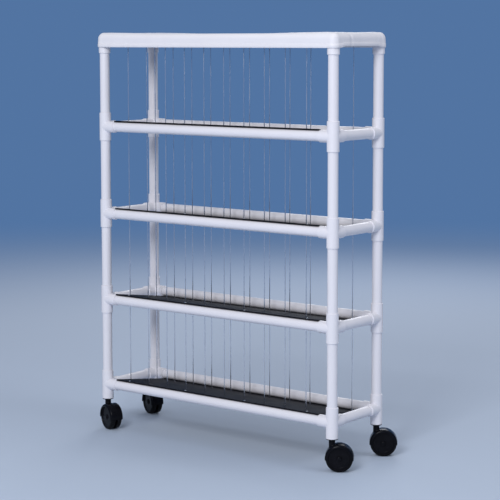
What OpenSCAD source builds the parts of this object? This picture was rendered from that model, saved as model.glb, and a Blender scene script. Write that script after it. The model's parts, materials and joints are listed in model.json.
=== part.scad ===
// Rolling chart rack: a pipe frame on four twin-wheel casters, with four
// back-tilted shelves, two rows of upright divider rods and a stretched top cover.
// Origin: the middle of the rack on the floor. +X right, +Y to the rear, +Z up.

/* [Frame] */
// Distance between the left and right post axes
post_spacing_x = 1219; // [900:1:1500]
// Distance between the front and rear post axes
post_spacing_y = 318; // [260:1:400]
// Height from one level of rails to the next
level_pitch = 381; // [300:1:420]

/* [Pipe] */
// Outside diameter of the frame pipe
pipe_od = 42.2; // [34:0.1:48]
// Wall thickness of the frame pipe
pipe_wall = 3.6; // [2.5:0.1:5]

/* [Fittings] */
// Wall thickness of a fitting around its pipe
fitting_wall = 3.8; // [2.5:0.1:5]
// Reach of a fitting's arm from the corner to its rim
fitting_arm = 61; // [56:1:75]
// Reach of the lowest arms, which hold the casters
caster_arm = 65; // [60:1:85]
// Depth to which a pipe goes into a fitting
socket_depth = 30; // [22:1:32]
// Radial gap between a pipe and its socket
socket_gap = 0.1; // [0.05:0.05:0.2]
// Gap between a pipe's end and the bottom of its socket
pipe_end_gap = 0.5; // [0.2:0.1:1]
// Chamfer on the rim of a fitting's arm
rim_chamfer = 1.2; // [0.6:0.1:2]
// How far the ball of a top corner stands out past its arms
corner_bulge = 0.5; // [0.3:0.1:1]

/* [Boards] */
// Thickness of the shelves and of the top board
board_thickness = 5; // [4:0.5:8]
// Width of a board's front lip, past the front rail's axis
front_lip = 14; // [10:1:18]
// Width of a board's rear lip, past the rear rail's axis
rear_lip = 10; // [8:1:18]
// Gap between the end of a board and the rim of a fitting
board_end_gap = 1; // [0.5:0.5:6]
// Gap between a board and the pipe that it rests on
seat_gap = 0.2; // [0.1:0.1:0.4]

/* [Divider rods] */
// Number of rods in each row
rod_count = 11; // [7:2:15]
// Distance from a post's axis to the nearest rod, along the rack
rod_end_margin = 73.5; // [70:0.5:120]
// Distance between the front and rear rows of rods
rod_row_spacing = 176; // [140:1:200]
// Diameter of a rod
rod_d = 4; // [3:0.5:6]
// Radial gap between a rod and its hole in a board
rod_hole_gap = 0.4; // [0.2:0.1:0.8]
// Length of rod below the lowest shelf
rod_tail = 8; // [6:1:12]
// Width of a hexagonal rod nut across its corners
nut_width = 9; // [8:0.5:12]
// Height of a rod nut
nut_height = 3.5; // [2.5:0.5:5]
// Length of rod above its nut
rod_tip = 2; // [1:0.5:4]
// Wall of the cap on a rod's lower end
cap_wall = 2.5; // [1.5:0.5:4]

/* [Screws] */
// Diameter of a board screw's shank
screw_d = 4; // [3:0.5:5]
// Diameter of a board screw's head
screw_head_d = 8.5; // [7:0.5:10]
// Height of a board screw's head
screw_head_height = 2.4; // [1.8:0.2:3]
// Length of a screw past the inner side of the pipe wall
screw_reach = 4; // [2:1:8]
// Radial gap between a screw and its hole
screw_gap = 0.1; // [0.05:0.05:0.3]

/* [Top cover] */
// Thickness of the cover sheet
cover_thickness = 1.2; // [1:0.1:2]
// Gap between the cover and the corner fittings
cover_gap = 0.3; // [0.2:0.1:0.5]
// Drop of the cover's skirt below the top rail axes
skirt_drop = 34; // [30:1:50]

/* [Casters] */
// Diameter of a caster wheel
wheel_d = 110; // [90:1:115]
// Width of a caster wheel
wheel_width = 21; // [16:1:24]
// Horizontal distance from the swivel axis to the axle
caster_trail = 30; // [26:1:38]
// Direction in which the front left caster trails
trail_angle_front_left = -20; // [-180:1:180]
// Direction in which the front right caster trails
trail_angle_front_right = 32; // [-180:1:180]
// Direction in which the rear left caster trails
trail_angle_rear_left = 157; // [-180:1:180]
// Direction in which the rear right caster trails
trail_angle_rear_right = 34; // [-180:1:180]
// Diameter of the axle
axle_d = 8; // [6:0.5:10]
// Radial running gap between the axle and a wheel
axle_gap = 0.05; // [0.03:0.01:0.1]
// Diameter of the caps on the axle's ends
axle_cap_d = 15; // [12:1:18]
// Thickness of the caps on the axle's ends
axle_cap_thickness = 1.2; // [1:0.2:2]
// Thickness of the web between the two wheels
web_thickness = 7; // [5:0.5:10]
// Side gap between a wheel and the web
wheel_side_gap = 2; // [1:0.5:3]
// Radial gap between a wheel and its hood
hood_gap = 1; // [1:0.5:4]
// Wall thickness of the hood
hood_wall = 2; // [2:0.5:5]
// Depth of the cheeks that the hood turns in over the wheel faces
hood_cheek = 11; // [6:1:16]
// How far the hood reaches below the axle
hood_drop = 6; // [0:1:10]
// Diameter of the boss around the axle
axle_boss_d = 26; // [20:1:30]
// Diameter of the hood's neck
neck_d = 26; // [20:1:32]
// Height of the neck above the top of the hood
neck_rise = 16.5; // [6:0.5:30]
// Diameter of the swivel stem
stem_d = 11; // [9:0.5:12]
// Radial running gap around the swivel stem
stem_gap = 0.06; // [0.03:0.01:0.1]
// Height of the flange of the plug in a caster arm
plug_flange = 3; // [2:0.5:4]
// Length of the plug inside a caster arm
plug_length = 38; // [30:1:40]
// Gap between the plug's flange and the hood's neck
swivel_gap = 0.5; // [0.3:0.1:1]

/* [Hidden] */
$fn = 64;

// How far a cut runs past the face that it opens
overcut = 1;

// Sides and levels
LEFT = -1;
RIGHT = 1;
FRONT = -1;
REAR = 1;
TOP = 4;

// Frame
post_x = post_spacing_x / 2;
post_y = post_spacing_y / 2;
pipe_r = pipe_od / 2;
bore_r = pipe_r - pipe_wall;
socket_r = pipe_r + socket_gap;
fitting_r = socket_r + fitting_wall;
corner_r = fitting_r + corner_bulge;
pipe_start = fitting_arm - socket_depth + pipe_end_gap;

// The casters carry the frame: the lowest arms end on the plugs' flanges
wheel_r = wheel_d / 2;
hood_cavity_r = wheel_r + hood_gap;
hood_r = hood_cavity_r + hood_wall;
neck_top = wheel_r + hood_r + neck_rise;
rim_z = neck_top + swivel_gap + plug_flange;
bottom_rail_height = rim_z + caster_arm;

// Boards: the underside of a shelf seats on the front rail, and its top side
// seats against the rear rail from below, so a shelf leans down to the rear.
face_gap = 0.1;
shelf_tilt = asin((pipe_od + board_thickness + 2 * seat_gap) / post_spacing_y);
board_length = post_spacing_x - 2 * (fitting_arm + board_end_gap);
top_board_z = level_z(TOP) - pipe_r - seat_gap - board_thickness / 2;

// Divider rods
rod_r = rod_d / 2;
rod_fit_gap = 0.05;
rod_y = rod_row_spacing / 2;
rod_top = top_board_z + board_thickness / 2 + nut_height + rod_tip;
rod_pitch = (post_spacing_x - 2 * rod_end_margin) / (rod_count - 1);
rod_xs = [for (i = [0 : rod_count - 1]) (i - (rod_count - 1) / 2) * rod_pitch];

// Screws stand midway between rods: at both ends of a board and near its thirds
outer_slot = (rod_count - 2) / 2;
inner_slot = floor(outer_slot / 3) + 0.5;
screw_xs = [for (slot = [-outer_slot, -inner_slot, inner_slot, outer_slot]) slot * rod_pitch];
screw_edge = screw_head_height / 2;

// Top cover
cover_r = corner_r + cover_gap + cover_thickness;

// Casters, in a frame with the swivel axis on Z and the axle towards +X
wheel_inner = web_thickness / 2 + wheel_side_gap;
wheel_outer = wheel_inner + wheel_width;
wheel_inner_shoulder = 3;
wheel_outer_shoulder = 8;
wheel_dish_depth = 3.5;
wheel_rim = 11;
wheel_hub_margin = 3;
wheel_hub_r = axle_cap_d / 2 + wheel_hub_margin;
axle_cap_gap = 0.3;
cheek_gap = 0.5;
cheek_thickness = 2.5;
hood_half_width = wheel_outer + axle_cap_gap + axle_cap_thickness + cheek_gap + cheek_thickness;
hood_round = 10;
cheek_r = hood_cavity_r - hood_cheek;

// The stem's bore in the hood ends a floor's thickness above the wheels' cavity
stem_floor = 3;
stem_bottom = wheel_r + sqrt(pow(hood_cavity_r, 2) - pow(caster_trail - stem_d / 2, 2)) + stem_floor;
stem_end_gap = 0.5;
plug_roof = 4;
stem_top = rim_z + plug_length - plug_roof;
plug_r = pipe_r;
plug_flange_inset = 1.5;
plug_flange_r = fitting_r - plug_flange_inset;
plug_end_gap = 1;

// Height of the rail axes at a level, with 0 the lowest
function level_z(level) = bottom_rail_height + level * level_pitch;

// Height of the middle of a level's board
function board_z(level) = level == TOP ? top_board_z : level_z(level);

// Backward lean of a level's board
function board_tilt(level) = level == TOP ? 0 : shelf_tilt;

// Distance along a board from its middle to the screws over a rail
function screw_y(level) = post_y * cos(board_tilt(level));

// Whether a row of screws has its heads on the upper side of the board
function heads_up(level, side) = level != TOP && side == FRONT;

// Height of the lower end of the rods in a row
function rod_bottom(side) =
    board_z(0) - side * rod_y * tan(shelf_tilt) - board_thickness / 2 / cos(shelf_tilt) - rod_tail;

// ---------- placing ----------

module at_post(side_x, side_y) {
    translate([side_x * post_x, side_y * post_y, 0])
        children();
}

// Turns a piece made for the front left post to face inwards at any post
module facing_inwards(side_x, side_y) {
    mirror([side_x == RIGHT ? 1 : 0, 0, 0])
        mirror([0, side_y == REAR ? 1 : 0, 0])
            children();
}

module on_board(level) {
    translate([0, 0, board_z(level)])
        rotate([-board_tilt(level), 0, 0])
            children();
}

// Places a screw whose head points to +Z at each screw of one edge of a board
module at_screws(level, side) {
    on_board(level)
        for (x = screw_xs)
            translate([x, side * screw_y(level), 0])
                rotate([heads_up(level, side) ? 0 : 180, 0, 0])
                    children();
}

module at_rods(side) {
    for (x = rod_xs)
        translate([x, side * rod_y, 0])
            children();
}

module at_caster(side_x, side_y, trail_angle) {
    at_post(side_x, side_y)
        rotate([0, 0, trail_angle])
            children();
}

module at_axle() {
    translate([caster_trail, 0, wheel_r])
        rotate([-90, 0, 0])
            children();
}

// ---------- pipe and fittings ----------

module pipe(length) {
    difference() {
        cylinder(h = length, r = pipe_r);
        translate([0, 0, -overcut])
            cylinder(h = length + 2 * overcut, r = bore_r);
    }
}

module arm(length) {
    rotate_extrude()
        polygon([
            [0, 0],
            [fitting_r, 0],
            [fitting_r, length - rim_chamfer],
            [fitting_r - rim_chamfer, length],
            [0, length]
        ]);
}

module arm_bore(length, depth) {
    cylinder(h = length, r = bore_r);
    translate([0, 0, length - depth])
        cylinder(h = depth + overcut, r = socket_r);
}

module towards_x() {
    rotate([0, 90, 0])
        children();
}

module towards_y() {
    rotate([-90, 0, 0])
        children();
}

module downwards() {
    rotate([180, 0, 0])
        children();
}

// A corner of the frame between the lowest and the top level
module four_way_fitting(lower_arm, lower_depth) {
    difference() {
        union() {
            arm(fitting_arm);
            downwards() arm(lower_arm);
            towards_x() arm(fitting_arm);
            towards_y() arm(fitting_arm);
        }
        arm_bore(fitting_arm, socket_depth);
        downwards() arm_bore(lower_arm, lower_depth);
        towards_x() arm_bore(fitting_arm, socket_depth);
        towards_y() arm_bore(fitting_arm, socket_depth);
    }
}

module three_way_fitting() {
    difference() {
        union() {
            sphere(r = corner_r);
            downwards() arm(fitting_arm);
            towards_x() arm(fitting_arm);
            towards_y() arm(fitting_arm);
        }
        downwards() arm_bore(fitting_arm, socket_depth);
        towards_x() arm_bore(fitting_arm, socket_depth);
        towards_y() arm_bore(fitting_arm, socket_depth);
    }
}

module fittings(side_x, side_y) {
    color("white")
        at_post(side_x, side_y)
            facing_inwards(side_x, side_y) {
                translate([0, 0, level_z(0)])
                    four_way_fitting(caster_arm, plug_length + plug_end_gap);
                for (level = [1 : TOP - 1])
                    translate([0, 0, level_z(level)])
                        four_way_fitting(fitting_arm, socket_depth);
                translate([0, 0, level_z(TOP)])
                    three_way_fitting();
            }
}

module post(side_x, side_y) {
    color("whitesmoke")
        at_post(side_x, side_y)
            for (level = [0 : TOP - 1])
                translate([0, 0, level_z(level) + pipe_start])
                    pipe(level_pitch - 2 * pipe_start);
}

module long_rail(side_y, level) {
    color("whitesmoke")
        difference() {
            translate([-post_x + pipe_start, side_y * post_y, level_z(level)])
                towards_x()
                    pipe(post_spacing_x - 2 * pipe_start);
            at_screws(level, side_y)
                screw_hole();
        }
}

module end_rail(side_x, level) {
    color("whitesmoke")
        translate([side_x * post_x, -post_y + pipe_start, level_z(level)])
            towards_y()
                pipe(post_spacing_y - 2 * pipe_start);
}

// ---------- boards and their screws ----------

module board(level) {
    color("dimgray")
        difference() {
            on_board(level)
                translate([-board_length / 2, -screw_y(level) - front_lip, -board_thickness / 2])
                    cube([board_length, 2 * screw_y(level) + front_lip + rear_lip, board_thickness]);
            for (side = [FRONT, REAR]) {
                at_rods(side)
                    cylinder(h = rod_top, r = rod_r + rod_hole_gap);
                at_screws(level, side)
                    screw_hole();
            }
        }
}

module screw() {
    head_bottom = board_thickness / 2 + face_gap;
    head_top = head_bottom + screw_head_height;
    head_r = screw_head_d / 2;
    tip = -board_thickness / 2 - seat_gap - pipe_wall - screw_reach;
    rotate_extrude()
        polygon([
            [0, tip],
            [screw_d / 2, tip],
            [screw_d / 2, head_bottom],
            [head_r, head_bottom],
            [head_r, head_top - screw_edge],
            [head_r - screw_edge, head_top],
            [0, head_top]
        ]);
}

module screw_hole() {
    depth = board_thickness + seat_gap + pipe_wall + screw_reach;
    translate([0, 0, board_thickness / 2 - depth])
        cylinder(h = depth + overcut, r = screw_d / 2 + screw_gap);
}

module board_screws() {
    color("silver")
        for (level = [0 : TOP], side = [FRONT, REAR])
            at_screws(level, side)
                screw();
}

// ---------- divider rods ----------

module rods(side) {
    color("lightsteelblue")
        at_rods(side)
            translate([0, 0, rod_bottom(side)])
                cylinder(h = rod_top - rod_bottom(side), r = rod_r);
}

module rod_nuts() {
    color("silver")
        for (side = [FRONT, REAR])
            at_rods(side)
                translate([0, 0, top_board_z + board_thickness / 2 + face_gap])
                    difference() {
                        cylinder(h = nut_height, d = nut_width, $fn = 6);
                        translate([0, 0, -overcut])
                            cylinder(h = nut_height + 2 * overcut, r = rod_r + rod_fit_gap);
                    }
}

// Caps on the rods' lower ends, cut to the slope of the lowest shelf
module rod_caps() {
    color("black")
        difference() {
            for (side = [FRONT, REAR])
                at_rods(side)
                    translate([0, 0, rod_bottom(side) - cap_wall])
                        rod_cap();
            on_board(0)
                translate([-board_length, -post_spacing_y, -board_thickness / 2 - face_gap])
                    cube([2 * board_length, 2 * post_spacing_y, level_pitch]);
        }
}

module rod_cap() {
    cap_height = cap_wall + rod_tail + rod_d;
    difference() {
        cylinder(h = cap_height, r = rod_r + cap_wall);
        translate([0, 0, cap_wall])
            cylinder(h = cap_height, r = rod_r + rod_fit_gap);
    }
}

// ---------- top cover ----------

// Section of the cover from the axis of a corner outwards
module cover_section() {
    intersection() {
        difference() {
            union() {
                circle(r = cover_r);
                translate([0, -skirt_drop])
                    square([cover_r, skirt_drop]);
            }
            circle(r = cover_r - cover_thickness);
            translate([-overcut, -skirt_drop - overcut])
                square([cover_r - cover_thickness + overcut, skirt_drop + overcut]);
        }
        translate([0, -skirt_drop])
            square([cover_r, skirt_drop + cover_r]);
    }
}

module cover_edge(length) {
    rotate([90, 0, 0])
        translate([0, 0, -length / 2])
            linear_extrude(height = length)
                cover_section();
}

module top_cover() {
    color("gainsboro")
        translate([0, 0, level_z(TOP)]) {
            for (side_x = [LEFT, RIGHT], side_y = [FRONT, REAR])
                at_post(side_x, side_y)
                    facing_inwards(side_x, side_y)
                        rotate([0, 0, 180])
                            rotate_extrude(angle = 90)
                                cover_section();
            for (side = [0, 180])
                rotate([0, 0, side]) {
                    translate([post_x, 0, 0])
                        cover_edge(post_spacing_y);
                    translate([0, post_y, 0])
                        rotate([0, 0, 90])
                            cover_edge(post_spacing_x);
                }
            translate([-post_x, -post_y, cover_r - cover_thickness])
                cube([post_spacing_x, post_spacing_y, cover_thickness]);
        }
}

// ---------- casters ----------

module caster_stems() {
    color("silver")
        for (side_x = [LEFT, RIGHT], side_y = [FRONT, REAR])
            at_post(side_x, side_y)
                translate([0, 0, stem_bottom + stem_end_gap])
                    cylinder(h = stem_top - stem_bottom - stem_end_gap, d = stem_d);
}

module caster_plug(side_x, side_y) {
    plug_bottom = rim_z - plug_flange;
    color("black")
        at_post(side_x, side_y)
            difference() {
                translate([0, 0, plug_bottom]) {
                    cylinder(h = plug_flange - face_gap, r = plug_flange_r);
                    cylinder(h = plug_flange + plug_length, r = plug_r);
                }
                cylinder(h = stem_top + stem_end_gap, r = stem_d / 2 + stem_gap);
            }
}

// Half of the section of a barrel that lies around the axle
module barrel_section(radius, half_width, shoulder) {
    translate([0, -half_width])
        square([radius - shoulder, 2 * half_width]);
    translate([0, shoulder - half_width])
        square([radius, 2 * (half_width - shoulder)]);
    for (end = [-1, 1])
        translate([radius - shoulder, end * (half_width - shoulder)])
            circle(r = shoulder);
}

// The hood's wall, with cheeks that turn in over the wheel faces
module hood_section() {
    difference() {
        barrel_section(hood_r, hood_half_width, hood_round);
        barrel_section(hood_cavity_r, hood_half_width - cheek_thickness, hood_round - hood_wall);
        translate([-overcut, -hood_half_width - overcut])
            square([cheek_r + overcut, 2 * (hood_half_width + overcut)]);
    }
}

module hood_shell() {
    difference() {
        at_axle()
            rotate_extrude()
                hood_section();
        translate([caster_trail - 2 * hood_r, -2 * hood_r, wheel_r - hood_drop - 2 * hood_r])
            cube([4 * hood_r, 4 * hood_r, 2 * hood_r]);
    }
}

module hood_web() {
    intersection() {
        at_axle()
            translate([0, 0, -web_thickness / 2])
                cylinder(h = web_thickness, r = hood_cavity_r + hood_wall / 2);
        translate([caster_trail - 2 * hood_r, -web_thickness, wheel_r - hood_drop])
            cube([4 * hood_r, 2 * web_thickness, 2 * hood_r]);
    }
    at_axle()
        translate([0, 0, -web_thickness / 2])
            cylinder(h = web_thickness, d = axle_boss_d);
}

module hood_neck() {
    difference() {
        translate([0, 0, wheel_r])
            cylinder(h = neck_top - wheel_r, d = neck_d);
        at_axle()
            translate([0, 0, -hood_half_width])
                cylinder(h = 2 * hood_half_width, r = hood_cavity_r + hood_wall / 2);
    }
}

module caster_hood(side_x, side_y, trail_angle) {
    color("black")
        at_caster(side_x, side_y, trail_angle)
            difference() {
                union() {
                    hood_shell();
                    hood_web();
                    hood_neck();
                }
                translate([0, 0, stem_bottom])
                    cylinder(h = neck_top, r = stem_d / 2 + stem_gap);
                at_axle()
                    translate([0, 0, -web_thickness])
                        cylinder(h = 2 * web_thickness, r = axle_d / 2 + axle_gap);
            }
}

module caster_axle(side_x, side_y, trail_angle) {
    cap_start = wheel_outer + axle_cap_gap;
    color("silver")
        at_caster(side_x, side_y, trail_angle)
            at_axle() {
                cylinder(h = 2 * cap_start, d = axle_d, center = true);
                for (end = [-1, 1])
                    translate([0, 0, end * (cap_start + axle_cap_thickness / 2)])
                        cylinder(h = axle_cap_thickness, d = axle_cap_d, center = true);
            }
}

// Half of the section of a wheel: a hub, a dished face and a round-shouldered rim
module wheel_section() {
    bore = axle_d / 2 + axle_gap;
    dish_end = wheel_r - wheel_rim;
    outer_edge = wheel_width - wheel_outer_shoulder;
    difference() {
        union() {
            translate([bore, 0])
                square([wheel_r - wheel_outer_shoulder - bore, wheel_width]);
            translate([bore, 0])
                square([wheel_r - wheel_inner_shoulder - bore, outer_edge]);
            translate([bore, wheel_inner_shoulder])
                square([wheel_r - bore, outer_edge - wheel_inner_shoulder]);
            translate([wheel_r - wheel_inner_shoulder, wheel_inner_shoulder])
                circle(r = wheel_inner_shoulder);
            translate([wheel_r - wheel_outer_shoulder, outer_edge])
                circle(r = wheel_outer_shoulder);
        }
        translate([wheel_hub_r, wheel_width - wheel_dish_depth])
            square([dish_end - wheel_hub_r, 2 * wheel_dish_depth]);
    }
}

// Wheel a runs on the left of the caster's web and wheel b on its right
module wheel(side_x, side_y, trail_angle, turn) {
    color("black")
        at_caster(side_x, side_y, trail_angle)
            at_axle()
                rotate([turn, 0, 0])
                    translate([0, 0, wheel_inner])
                        rotate_extrude()
                            wheel_section();
}

post(LEFT, FRONT);  // post_front_left
post(RIGHT, FRONT);  // post_front_right
post(LEFT, REAR);  // post_rear_left
post(RIGHT, REAR);  // post_rear_right
fittings(LEFT, FRONT);  // fittings_front_left
fittings(RIGHT, FRONT);  // fittings_front_right
fittings(LEFT, REAR);  // fittings_rear_left
fittings(RIGHT, REAR);  // fittings_rear_right
long_rail(FRONT, 0);  // front_rail_1
long_rail(FRONT, 1);  // front_rail_2
long_rail(FRONT, 2);  // front_rail_3
long_rail(FRONT, 3);  // front_rail_4
long_rail(FRONT, TOP);  // front_rail_5
long_rail(REAR, 0);  // rear_rail_1
long_rail(REAR, 1);  // rear_rail_2
long_rail(REAR, 2);  // rear_rail_3
long_rail(REAR, 3);  // rear_rail_4
long_rail(REAR, TOP);  // rear_rail_5
end_rail(LEFT, 0);  // left_rail_1
end_rail(LEFT, 1);  // left_rail_2
end_rail(LEFT, 2);  // left_rail_3
end_rail(LEFT, 3);  // left_rail_4
end_rail(LEFT, TOP);  // left_rail_5
end_rail(RIGHT, 0);  // right_rail_1
end_rail(RIGHT, 1);  // right_rail_2
end_rail(RIGHT, 2);  // right_rail_3
end_rail(RIGHT, 3);  // right_rail_4
end_rail(RIGHT, TOP);  // right_rail_5
board(0);  // shelf_1
board(1);  // shelf_2
board(2);  // shelf_3
board(3);  // shelf_4
board(TOP);  // top_board
rods(FRONT);  // rods_front
rods(REAR);  // rods_rear
rod_nuts();
rod_caps();
board_screws();
top_cover();
caster_stems();
caster_plug(LEFT, FRONT);  // caster_plug_front_left
caster_plug(RIGHT, FRONT);  // caster_plug_front_right
caster_plug(LEFT, REAR);  // caster_plug_rear_left
caster_plug(RIGHT, REAR);  // caster_plug_rear_right
caster_hood(LEFT, FRONT, trail_angle_front_left);  // caster_hood_front_left
caster_hood(RIGHT, FRONT, trail_angle_front_right);  // caster_hood_front_right
caster_hood(LEFT, REAR, trail_angle_rear_left);  // caster_hood_rear_left
caster_hood(RIGHT, REAR, trail_angle_rear_right);  // caster_hood_rear_right
caster_axle(LEFT, FRONT, trail_angle_front_left);  // caster_axle_front_left
caster_axle(RIGHT, FRONT, trail_angle_front_right);  // caster_axle_front_right
caster_axle(LEFT, REAR, trail_angle_rear_left);  // caster_axle_rear_left
caster_axle(RIGHT, REAR, trail_angle_rear_right);  // caster_axle_rear_right
wheel(LEFT, FRONT, trail_angle_front_left, 0);  // wheel_a_front_left
wheel(LEFT, FRONT, trail_angle_front_left, 180);  // wheel_b_front_left
wheel(RIGHT, FRONT, trail_angle_front_right, 0);  // wheel_a_front_right
wheel(RIGHT, FRONT, trail_angle_front_right, 180);  // wheel_b_front_right
wheel(LEFT, REAR, trail_angle_rear_left, 0);  // wheel_a_rear_left
wheel(LEFT, REAR, trail_angle_rear_left, 180);  // wheel_b_rear_left
wheel(RIGHT, REAR, trail_angle_rear_right, 0);  // wheel_a_rear_right
wheel(RIGHT, REAR, trail_angle_rear_right, 180);  // wheel_b_rear_right
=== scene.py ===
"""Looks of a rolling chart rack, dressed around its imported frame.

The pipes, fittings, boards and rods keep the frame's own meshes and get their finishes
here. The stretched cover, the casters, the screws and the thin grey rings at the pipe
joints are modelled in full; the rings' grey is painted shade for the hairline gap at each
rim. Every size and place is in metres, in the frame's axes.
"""

import json
import logging
import math
from dataclasses import dataclass
from enum import Enum
from types import MappingProxyType
from typing import Any, Callable, Iterable, Mapping, Sequence, Union

import bmesh
import bpy
from bmesh.types import BMesh, BMEdge, BMFace, BMVert
from mathutils import Matrix, Vector


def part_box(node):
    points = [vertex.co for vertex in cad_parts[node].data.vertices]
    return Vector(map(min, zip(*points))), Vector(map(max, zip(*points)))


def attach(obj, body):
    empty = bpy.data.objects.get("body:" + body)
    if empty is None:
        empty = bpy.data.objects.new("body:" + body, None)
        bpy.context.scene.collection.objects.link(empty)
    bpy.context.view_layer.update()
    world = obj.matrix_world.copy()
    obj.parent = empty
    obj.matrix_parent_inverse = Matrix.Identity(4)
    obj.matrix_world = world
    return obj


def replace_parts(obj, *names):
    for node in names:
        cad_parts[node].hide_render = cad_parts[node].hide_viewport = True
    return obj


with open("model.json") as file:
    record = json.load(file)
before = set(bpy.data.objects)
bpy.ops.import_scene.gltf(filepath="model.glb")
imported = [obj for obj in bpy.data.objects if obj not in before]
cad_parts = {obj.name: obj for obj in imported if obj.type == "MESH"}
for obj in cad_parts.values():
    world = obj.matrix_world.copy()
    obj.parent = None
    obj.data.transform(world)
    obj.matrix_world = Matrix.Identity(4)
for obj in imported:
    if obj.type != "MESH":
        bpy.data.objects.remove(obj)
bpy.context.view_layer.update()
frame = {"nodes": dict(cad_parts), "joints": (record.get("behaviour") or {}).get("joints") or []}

LOG = logging.getLogger("chart_rack")

MILLIMETRE = 0.001
TENTH = MILLIMETRE / 10
HAIR = MILLIMETRE / 100
RACK = "rack"
LEVEL_NUMBERS = range(1, 6)
FULL_TURN = math.tau
QUARTER_TURN = math.pi / 2
UP = Vector((0.0, 0.0, 1.0))

Color = tuple[float, float, float]
Point = tuple[float, float]


# ---------- shader nodes ----------


class Value:
    """The output of a shader node, whose arithmetic adds Math nodes."""

    def __init__(self, sheet: "NodeSheet", socket: bpy.types.NodeSocket) -> None:
        """Wraps one output socket of a node on the sheet."""
        self.sheet = sheet
        self.socket = socket

    def math(self, operation: str, other: "Number") -> "Value":
        """Adds one Math node.

        Args:
            operation: The node's operation, such as ADD.
            other: Its second value. The first is this one.

        Returns:
            The node's result.
        """
        return self.sheet.value("ShaderNodeMath", {"operation": operation}, {0: self, 1: other})

    def __add__(self, other: "Number") -> "Value":
        """self + other."""
        return self.math("ADD", other)

    def __radd__(self, other: float) -> "Value":
        """other + self."""
        return self + other

    def __mul__(self, other: "Number") -> "Value":
        """self * other."""
        return self.math("MULTIPLY", other)

    def __rmul__(self, other: float) -> "Value":
        """other * self."""
        return self * other

    def over(self, low: float, high: float) -> "Value":
        """Marks where this value is high.

        Args:
            low: The value up to which the mark is 0.
            high: The value from which it is 1.

        Returns:
            The mark, with a smooth ramp between.
        """
        sockets = {"Value": self, "From Min": low, "From Max": high}
        settings = {"interpolation_type": "SMOOTHSTEP"}
        return self.sheet.value("ShaderNodeMapRange", settings, sockets)


Number = Union[Value, float]


class NodeSheet:
    """The node tree of one material or world, and the means to fill it."""

    def __init__(self, owner: Union[bpy.types.Material, bpy.types.World]) -> None:
        """Empties a node tree and takes it over.

        Args:
            owner: The material or world whose tree it is.
        """
        owner.use_nodes = True
        self.tree = owner.node_tree
        self.tree.nodes.clear()

    def node(
        self,
        kind: str,
        settings: Union[dict[str, Any], None] = None,
        sockets: Union[dict[Union[str, int], Any], None] = None,
    ) -> bpy.types.Node:
        """Adds a node, sets it up and fills its inputs.

        Args:
            kind: The node's type.
            settings: Its own properties.
            sockets: A value or a link for each named or numbered input.

        Returns:
            The new node.
        """
        made = self.tree.nodes.new(kind)
        for name, setting in (settings or {}).items():
            setattr(made, name, setting)
        for key, content in (sockets or {}).items():
            content = content.socket if isinstance(content, Value) else content
            if isinstance(content, bpy.types.NodeSocket):
                self.tree.links.new(content, made.inputs[key])
            else:
                made.inputs[key].default_value = content
        return made

    def value(self, kind: str, settings: dict[str, Any], sockets: dict[Any, Any]) -> Value:
        """Adds a node and returns its first output as a value."""
        return Value(self, self.node(kind, settings, sockets).outputs[0])

    def place(self, stretch: Sequence[float] = (1.0, 1.0, 1.0), kind: str = "Object") -> Value:
        """Gives the coordinates of the surface.

        Args:
            stretch: How many times finer the pattern runs along each axis.
            kind: The output of the coordinate node: Object or UV.

        Returns:
            The scaled coordinates.
        """
        source = self.node("ShaderNodeTexCoord").outputs[kind]
        sockets = {"Vector": source, "Scale": tuple(stretch)}
        return self.value("ShaderNodeMapping", {"vector_type": "POINT"}, sockets)

    def noise(self, place: Value, scale: float, detail: float, label: str) -> Value:
        """Adds smooth noise.

        Args:
            place: The coordinates.
            scale: The number of cells a unit of them.
            detail: The number of finer octaves.
            label: What the noise stands for.

        Returns:
            The noise, from 0 to 1.
        """
        sockets = {"Vector": place, "Scale": scale, "Detail": detail}
        return self.value("ShaderNodeTexNoise", {"label": label}, sockets)

    def blend(self, factor: Number, low: Any, high: Any) -> bpy.types.NodeSocket:
        """Mixes two colours.

        Args:
            factor: 0 for low and 1 for high.
            low: The first colour, or a link to one.
            high: The second colour, or a link to one.

        Returns:
            The mixed colour's socket.
        """
        # The Mix node has sockets of the same name for each data type, so they go by number.
        factor_in, low_in, high_in, color_out = 0, 6, 7, 2
        colors = [(*end, 1.0) if isinstance(end, tuple) else end for end in (low, high)]
        sockets = {factor_in: factor, low_in: colors[0], high_in: colors[1]}
        return self.node("ShaderNodeMix", {"data_type": "RGBA"}, sockets).outputs[color_out]

    def bump(
        self, height: Number, depth: float, strength: float = 1.0, under: Union[Value, None] = None
    ) -> Value:
        """Adds a relief.

        Args:
            height: The relief's height, from 0 to 1.
            depth: Its depth in metres.
            strength: How much of it shows.
            under: The normals of a coarser relief that it lies on.

        Returns:
            The relief's normals.
        """
        sockets = {"Height": height, "Distance": depth, "Strength": strength}
        return self.value("ShaderNodeBump", {}, sockets | ({"Normal": under} if under else {}))

    def surface(self, sockets: dict[str, Any]) -> None:
        """Ends a material in one Principled shader with the given inputs."""
        shader = self.node("ShaderNodeBsdfPrincipled", {}, sockets)
        self.node("ShaderNodeOutputMaterial", {}, {"Surface": shader.outputs[0]})


# ---------- finishes ----------


class Run(Enum):
    """The axis along which a drawn or extruded piece runs."""

    ALONG_X = 0
    ALONG_Y = 1
    ALONG_Z = 2


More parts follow.
